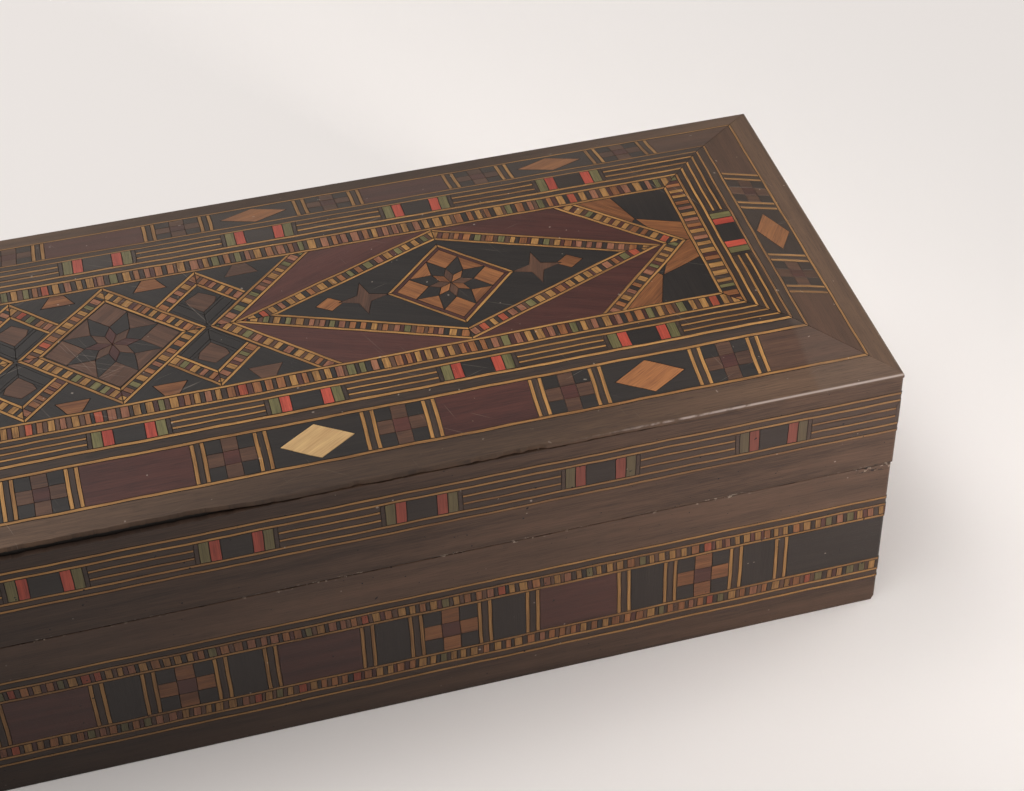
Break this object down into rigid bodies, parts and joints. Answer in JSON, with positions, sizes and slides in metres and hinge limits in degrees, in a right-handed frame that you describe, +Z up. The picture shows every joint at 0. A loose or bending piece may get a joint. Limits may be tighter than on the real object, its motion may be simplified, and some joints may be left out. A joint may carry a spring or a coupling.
{
  "type": "inlaid wooden puzzle box",
  "caption": "Long inlaid wooden casket with a hipped hinged lid, two secret dovetailed end slides that hide key and keyhole, and a sliding bolt lock.",
  "frame": {"origin": "middle of the base's underside, on the surface it stands on", "axes": "+X along the length to the keyhole end, +Y to the hinged back, +Z up"},
  "size_m": [0.252, 0.08, 0.059],
  "materials": {
    "carcass_wood": "plain planed walnut",
    "walnut": "satin varnish, worn",
    "dark_wood": "satin varnish",
    "string_wood": "satin varnish",
    "rope_wood": "satin varnish",
    "ebony": "satin varnish",
    "mahogany": "satin varnish",
    "olive_wood": "satin varnish",
    "brown_wood": "satin varnish",
    "scarlet_wood": "satin varnish, dyed",
    "green_wood": "satin varnish, dyed",
    "brass": "dull",
    "steel": "dull"
  },
  "bodies": {
    "base": {"base_back_wall": "carcass_wood", "base_bandings": "string_wood", "base_checker_tiles": "brown_wood", "base_dark_strips": "dark_wood", "base_ebony_pieces": "ebony", "base_floor": "carcass_wood", "base_front_wall": "carcass_wood", "base_left_end": "carcass_wood", "base_mahogany_pieces": "mahogany", "base_right_end": "carcass_wood", "base_rope_strips": "rope_wood", "base_strings": "string_wood", "base_walnut_strips": "walnut", "hinge_base_leaves": "brass", "hinge_pins": "brass", "key": "steel", "keyhole_plate": "brass", "lock_plate": "brass", "slide_stop_pegs": "carcass_wood"},
    "lid": {"hinge_lid_leaves": "brass", "lid_back_wall": "carcass_wood", "lid_bandings": "string_wood", "lid_checker_tiles": "brown_wood", "lid_dark_strips": "dark_wood", "lid_ebony_pieces": "ebony", "lid_front_wall": "carcass_wood", "lid_green_blocks": "green_wood", "lid_left_end": "carcass_wood", "lid_mahogany_pieces": "mahogany", "lid_olive_pieces": "olive_wood", "lid_right_end": "carcass_wood", "lid_rope_strips": "rope_wood", "lid_ruled_strips": "dark_wood", "lid_scarlet_blocks": "scarlet_wood", "lid_strings": "string_wood", "lid_top_board": "carcass_wood", "lid_walnut_star_pieces": "brown_wood", "lid_walnut_strips": "walnut", "lock_staple": "brass"},
    "keyhole_slide": {"keyhole_slide_bandings": "string_wood", "keyhole_slide_board": "carcass_wood", "keyhole_slide_checker_tiles": "brown_wood", "keyhole_slide_dark_strips": "dark_wood", "keyhole_slide_ebony_pieces": "ebony", "keyhole_slide_mahogany_pieces": "mahogany", "keyhole_slide_rope_strips": "rope_wood", "keyhole_slide_strings": "string_wood"},
    "key_slide": {"key_slide_bandings": "string_wood", "key_slide_board": "carcass_wood", "key_slide_checker_tiles": "brown_wood", "key_slide_dark_strips": "dark_wood", "key_slide_ebony_pieces": "ebony", "key_slide_mahogany_pieces": "mahogany", "key_slide_rope_strips": "rope_wood", "key_slide_strings": "string_wood"},
    "lock_bolt": {"lock_bolt": "steel"}
  },
  "joints": [
    {"name": "lid_hinge", "type": "hinge", "parent": "base", "child": "lid", "pos_m": [0, 0.037, 0.0345], "axis": [-1, 0, 0], "range_deg": [0, 95]},
    {"name": "keyhole_slide", "type": "slide", "parent": "base", "child": "keyhole_slide", "axis": [0, 1, 0], "range_m": [0, 0.04]},
    {"name": "key_slide", "type": "slide", "parent": "base", "child": "key_slide", "axis": [0, 1, 0], "range_m": [0, 0.04]},
    {"name": "lock_bolt", "type": "slide", "parent": "base", "child": "lock_bolt", "axis": [0, 1, 0], "range_m": [0, 0.005]}
  ]
}
